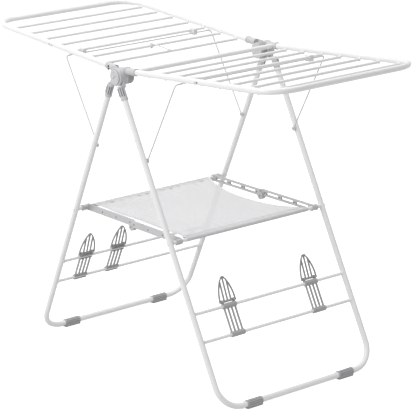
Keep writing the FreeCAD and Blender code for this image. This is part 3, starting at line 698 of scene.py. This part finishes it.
section = cloth_section()
cloth_mesh = bpy.data.meshes.new("shelf_mesh_cloth")
grid = bmesh.new()
weave = grid.loops.layers.uv.new("weave")
rows = []
for x, z, travelled in section:
    row = []
    for step in range(CLOTH_ROWS + 1):
        near, far = cloth_edge(x, -1), cloth_edge(x, 1)
        y = near + (far - near) * step / CLOTH_ROWS
        on_top = z > CLOTH_RADIUS * ON_TOP
        height = z + (cloth_relief(x, y) if on_top and abs(x) < ROD_X else 0)
        row.append(grid.verts.new((x, y, ROD_Z + height)))
    rows.append(row)
for low_row, high_row, low_step, high_step in zip(rows, rows[1:], section, section[1:]):
    for step in range(CLOTH_ROWS):
        corners = (low_row[step], high_row[step], high_row[step + 1], low_row[step + 1])
        face = grid.faces.new(corners)
        face.smooth = True
        lengths = (low_step[2], high_step[2], high_step[2], low_step[2])
        for loop, corner, along in zip(face.loops, corners, lengths):
            loop[weave].uv = (along, corner.co.y)
grid.to_mesh(cloth_mesh)
grid.free()
cloth = bpy.data.objects.new("shelf_mesh_cloth", cloth_mesh)
scene.collection.objects.link(cloth)

# The weave: two sets of yarns, each a row of rounded ridges, with a small hole at every place
# where the gaps of both cross. It reads the cloth's own map, which is in metres, shifted by
# enough whole pitches to keep it above zero.
WEAVE_SHIFT = 1000.0
YARN_ROUGHNESS, YARN_SHEEN, YARN_RELIEF = 0.72, 0.15, 0.0002
yarn_weave, entry, leave = group_of(
    "yarn_weave",
    [("Pitch", "NodeSocketFloat", 0.0016), ("Hole", "NodeSocketFloat", 0.76),
     ("Colour", "NodeSocketColor", (0.8, 0.8, 0.8, 1)),
     ("Painted gap shade", "NodeSocketColor", (0.6, 0.6, 0.6, 1))],
    [("Colour", "NodeSocketColor"), ("Cover", "NodeSocketFloat"), ("Height", "NodeSocketFloat")],
)


def maths(tree, operation, first, second=None, third=None):
    """One step of arithmetic between sockets or plain numbers."""
    made = tree.nodes.new("ShaderNodeMath")
    made.operation = operation
    for place, value in enumerate((first, second, third)):
        if isinstance(value, bpy.types.NodeSocket):
            tree.links.new(value, made.inputs[place])
        elif value is not None:
            made.inputs[place].default_value = value
    return made.outputs[0]


weave_map = yarn_weave.nodes.new("ShaderNodeUVMap")
weave_map.uv_map = "weave"
split = yarn_weave.nodes.new("ShaderNodeSeparateXYZ")
yarn_weave.links.new(weave_map.outputs["UV"], split.inputs[0])
ridges = []
for axis in ("X", "Y"):
    turns = maths(yarn_weave, "DIVIDE", split.outputs[axis], entry.outputs["Pitch"])
    part = maths(yarn_weave, "FRACT", maths(yarn_weave, "ADD", turns, WEAVE_SHIFT))
    ridges.append(maths(yarn_weave, "ABSOLUTE", maths(yarn_weave, "MULTIPLY_ADD", part, 2.0, -1.0)))
deep = maths(yarn_weave, "MINIMUM", ridges[0], ridges[1])
open_part = maths(yarn_weave, "GREATER_THAN", deep, entry.outputs["Hole"])
yarn_weave.links.new(maths(yarn_weave, "SUBTRACT", 1.0, open_part), leave.inputs["Cover"])
yarn_weave.links.new(maths(yarn_weave, "SUBTRACT", 1.0, deep), leave.inputs["Height"])
# The colour darkens towards the gaps between the yarns: painted shade between them.
gap_shaded = yarn_weave.nodes.new("ShaderNodeMix")
gap_shaded.data_type = "RGBA"
yarn_weave.links.new(maths(yarn_weave, "POWER", deep, 2.0), gap_shaded.inputs["Factor"])
yarn_weave.links.new(entry.outputs["Colour"], gap_shaded.inputs["A"])
yarn_weave.links.new(entry.outputs["Painted gap shade"], gap_shaded.inputs["B"])
yarn_weave.links.new(gap_shaded.outputs["Result"], leave.inputs["Colour"])


def woven(name, colour, painted_gap_shade, pitch, hole, bump):
    """A cloth material with the yarn weave. A hole size of 1 leaves no holes."""
    made = bpy.data.materials.new(name)
    made.use_nodes = True
    tree = made.node_tree
    shader = tree.nodes["Principled BSDF"]
    shader.inputs["Roughness"].default_value = YARN_ROUGHNESS
    shader.inputs["Sheen Weight"].default_value = YARN_SHEEN
    yarns = tree.nodes.new("ShaderNodeGroup")
    yarns.node_tree = yarn_weave
    yarns.inputs["Pitch"].default_value = pitch
    yarns.inputs["Hole"].default_value = hole
    yarns.inputs["Colour"].default_value = (*colour, 1)
    yarns.inputs["Painted gap shade"].default_value = (*painted_gap_shade, 1)
    relief = tree.nodes.new("ShaderNodeBump")
    relief.inputs["Strength"].default_value = bump
    relief.inputs["Distance"].default_value = YARN_RELIEF
    tree.links.new(yarns.outputs["Colour"], shader.inputs["Base Color"])
    tree.links.new(yarns.outputs["Cover"], shader.inputs["Alpha"])
    tree.links.new(yarns.outputs["Height"], relief.inputs["Height"])
    tree.links.new(relief.outputs["Normal"], shader.inputs["Normal"])
    return made


shelf_cloth = woven("shelf_cloth", (0.70, 0.70, 0.71), (0.60, 0.60, 0.61), YARN_PITCH, 0.76, 0.3)
cloth.data.materials.append(shelf_cloth)

# The cloth's trimmings: a folded binding along each hollow side, and two rows of lock stitches
# that close each hem.
BINDING_WIDTH, BINDING_HEIGHT, BINDING_PROUD = 0.0075, 0.0007, 0.0006
BINDING_END, BINDING_LAP = 0.003, 0.0015
STITCH_LENGTH, STITCH_PITCH, STITCH_RADIUS, STITCH_RISE = 0.0027, 0.0040, 0.00035, 0.4
STITCH_ROWS = (0.0085, 0.0125)
binding_cloth = woven(
    "binding_cloth", (0.80, 0.80, 0.805), (0.70, 0.70, 0.71), YARN_PITCH / 2, 1.0, 0.4
)
binding_mesh = bpy.data.meshes.new("cloth_binding")
strips = bmesh.new()
strip_map = strips.loops.layers.uv.new("weave")
for end in (-1, 1):
    rail = []
    for step in range(CLOTH_COLUMNS + 1):
        x = (ROD_X - BINDING_END) * (2 * step / CLOTH_COLUMNS - 1)
        ring = []
        for inward, rise in ((0, 0), (-BINDING_PROUD, 0.5), (0, 1), (1, 1), (1, 0)):
            y = cloth_edge(x, end) - end * (BINDING_WIDTH if inward > 0 else inward)
            top = ROD_Z + CLOTH_RADIUS + cloth_relief(x, y)
            ring.append(strips.verts.new((x, y, top + BINDING_HEIGHT * (2 * rise - 1) / 2)))
        rail.append(ring)
    for number, (low_ring, high_ring) in enumerate(zip(rail, rail[1:])):
        for step in range(len(low_ring)):
            following = (step + 1) % len(low_ring)
            corners = [low_ring[step], high_ring[step], high_ring[following],
                       low_ring[following]]
            face = strips.faces.new(corners)
            face.smooth = True
            for loop, across in zip(face.loops, (step, step, step + 1, step + 1)):
                loop[strip_map].uv = (loop.vert.co.x, across * BINDING_LAP + loop.vert.co.y)
    strips.faces.new(rail[0])
    strips.faces.new(rail[-1][::-1])
bmesh.ops.recalc_face_normals(strips, faces=strips.faces)
strips.to_mesh(binding_mesh)
strips.free()
binding = bpy.data.objects.new("cloth_binding", binding_mesh)
scene.collection.objects.link(binding)
binding.data.materials.append(binding_cloth)

thread = skinned(
    "hem_thread", (0.62, 0.62, 0.63), (0.54, 0.54, 0.55), (200, 6000), (0.5, 0.65), (0.4, 0.00005)
)
first_stitch = drum(STITCH_RADIUS, STITCH_LENGTH, sides=6)
finish_with(first_stitch, "BEVEL", width=STITCH_RADIUS * 0.5, segments=1)
settle(first_stitch, facing(0, 0, 0, 1))
stitches = []
for side in (REAR, FRONT):
    for row in STITCH_ROWS:
        x = side * (ROD_X - row)
        near, far = cloth_edge(x, -1) + BINDING_WIDTH, cloth_edge(x, 1) - BINDING_WIDTH
        count = int((far - near) / STITCH_PITCH)
        for number in range(count):
            y = (near + far) / 2 + (number - (count - 1) / 2) * STITCH_PITCH
            height = ROD_Z + CLOTH_RADIUS + cloth_relief(x, y) + STITCH_RADIUS * STITCH_RISE
            made = first_stitch.copy()
            made.data = first_stitch.data.copy()
            made.data.transform(Matrix.Translation((x, y, height)))
            scene.collection.objects.link(made)
            stitches.append(made)
bpy.data.objects.remove(first_stitch)
hem_stitches = join("hem_stitches", stitches)
hem_stitches.data.materials.clear()
hem_stitches.data.materials.append(thread)

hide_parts("shelf_cloth")
for piece in (cloth, binding, hem_stitches):
    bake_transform(piece)


# Shelf links: a pair of moulded bars at each end of the shelf, each two rails joined by posts,
# which turn on the shelf rods and fold down at a knuckle in the middle.
LINK_PLACE, LINK_DEPTH, LINK_LAYER_GAP = 0.216, 0.006, 0.0006
LINK_ROOT, LINK_STOP, LINK_POST, LINK_WINDOWS = 0.016, 0.008, 0.012, 3
KNUCKLE_DROP = 0.009
POST_HOLE_RADIUS, POST_RIM, POST_HOLE_DEPTH = 0.0021, 0.0011, 0.0007
KNUCKLE_CAP_RADIUS, KNUCKLE_CAP_DEPTH = 0.0072, 0.0014
KNUCKLE_SLOT, KNUCKLE_TURN = (0.0080, 0.0018, 0.0016), 62
LINK_SLEEVE_END, LINK_SLEEVE_RADIUS = 0.240, 0.008
RING_PROUD, LINK_RING_DEPTH, RING_ROUNDING, RING_INSET = 0.0008, 0.003, 0.0007, 0.0016
link_plastic = skinned(
    "link_plastic", (0.58, 0.58, 0.59), (0.51, 0.51, 0.52), (55, 2300), (0.38, 0.52),
    (0.4, 0.0001),
)
window = (ROD_X - LINK_ROOT - LINK_STOP) / LINK_WINDOWS - LINK_POST
for frame_name, side in (("rear", REAR), ("front", FRONT)):
    layer = 0 if side == REAR else LINK_DEPTH + LINK_LAYER_GAP
    for end, end_name in ((-1, "near"), (1, "far")):
        name = f"{frame_name}_link_{end_name}"
        coat(link_plastic, name)
        rims, holes = [], []
        for facing_way in (-1, 1):
            outward = facing_way * end > 0
            face = end * (LINK_PLACE + layer + (LINK_DEPTH if outward else 0))
            for number in range(LINK_WINDOWS):
                x = side * (ROD_X - LINK_ROOT - (number + 1) * (window + LINK_POST)
                            + LINK_POST / 2)
                rim = drum(POST_HOLE_RADIUS + POST_RIM, POST_HOLE_DEPTH, sides=28)
                finish_with(rim, "BEVEL", width=POST_HOLE_DEPTH * 0.4, segments=2)
                rims.append(settle(rim, facing(x, face, ROD_Z, facing_way)))
                # Each post hole is a near-black disc: painted shade inside the hole.
                hole = drum(POST_HOLE_RADIUS, POST_HOLE_DEPTH * 1.25, sides=20)
                holes.append(settle(hole, facing(x, face, ROD_Z, facing_way)))
        knuckle_face = end * (LINK_PLACE + layer + (0 if side == REAR else LINK_DEPTH))
        way = -end if side == REAR else end
        knob = drum(KNUCKLE_CAP_RADIUS, KNUCKLE_CAP_DEPTH, sides=40)
        finish_with(knob, "BEVEL", width=KNUCKLE_CAP_DEPTH * 0.35, segments=3)
        rims.append(settle(knob, facing(0, knuckle_face, ROD_Z - KNUCKLE_DROP, way)))
        # The slot in the knuckle cap is a near-black block: painted shade inside the slot.
        bpy.ops.object.select_all(action="DESELECT")
        bpy.ops.mesh.primitive_cube_add(size=1, scale=KNUCKLE_SLOT)
        slot_mark = bpy.context.object
        turned_slot = Matrix.Rotation(math.radians(KNUCKLE_TURN), 4, "Z")
        holes.append(settle(
            slot_mark, facing(0, knuckle_face, ROD_Z - KNUCKLE_DROP, way) @ turned_slot))
        end_ring = drum(LINK_SLEEVE_RADIUS + RING_PROUD, LINK_RING_DEPTH, sides=36)
        finish_with(end_ring, "BEVEL", width=RING_ROUNDING, segments=2)
        ring_y = end * (LINK_SLEEVE_END - RING_INSET)
        rims.append(settle(end_ring, facing(side * ROD_X, ring_y, ROD_Z, end)))
        arm = f"{name}_arm"
        fit(smooth(join(f"{name}_rims", rims)), link_plastic, arm)
        fit(smooth(join(f"{name}_holes", holes)), painted_recess_shade, arm)


# Shoe holders: a ribbed grey clip snapped over both lower bars, and a pointed ribbed fin that
# tilts in the clip's two ears to take the toe of a shoe. The fin's grey is darker than the clip's:
# painted shade among its ribs.
clip_plastic = skinned(
    "clip_plastic", (0.44, 0.44, 0.445), (0.37, 0.37, 0.375), (60, 2400), (0.42, 0.56),
    (0.45, 0.0001),
)
fin_shaded_grey = skinned(
    "fin_shaded_grey", (0.36, 0.36, 0.365), (0.29, 0.29, 0.295), (60, 2400), (0.42, 0.56),
    (0.45, 0.0001),
)
for frame_name in ("rear", "front"):
    coat(clip_plastic, f"{frame_name}_shoe_clips")
    coat(fin_shaded_grey, f"{frame_name}_fin_near", f"{frame_name}_fin_far")


# Transport latch: a bent wire loop round one rung of the left wing, which swings over to hold
# the folded wings together.
coat(white_wire, "transport_latch")
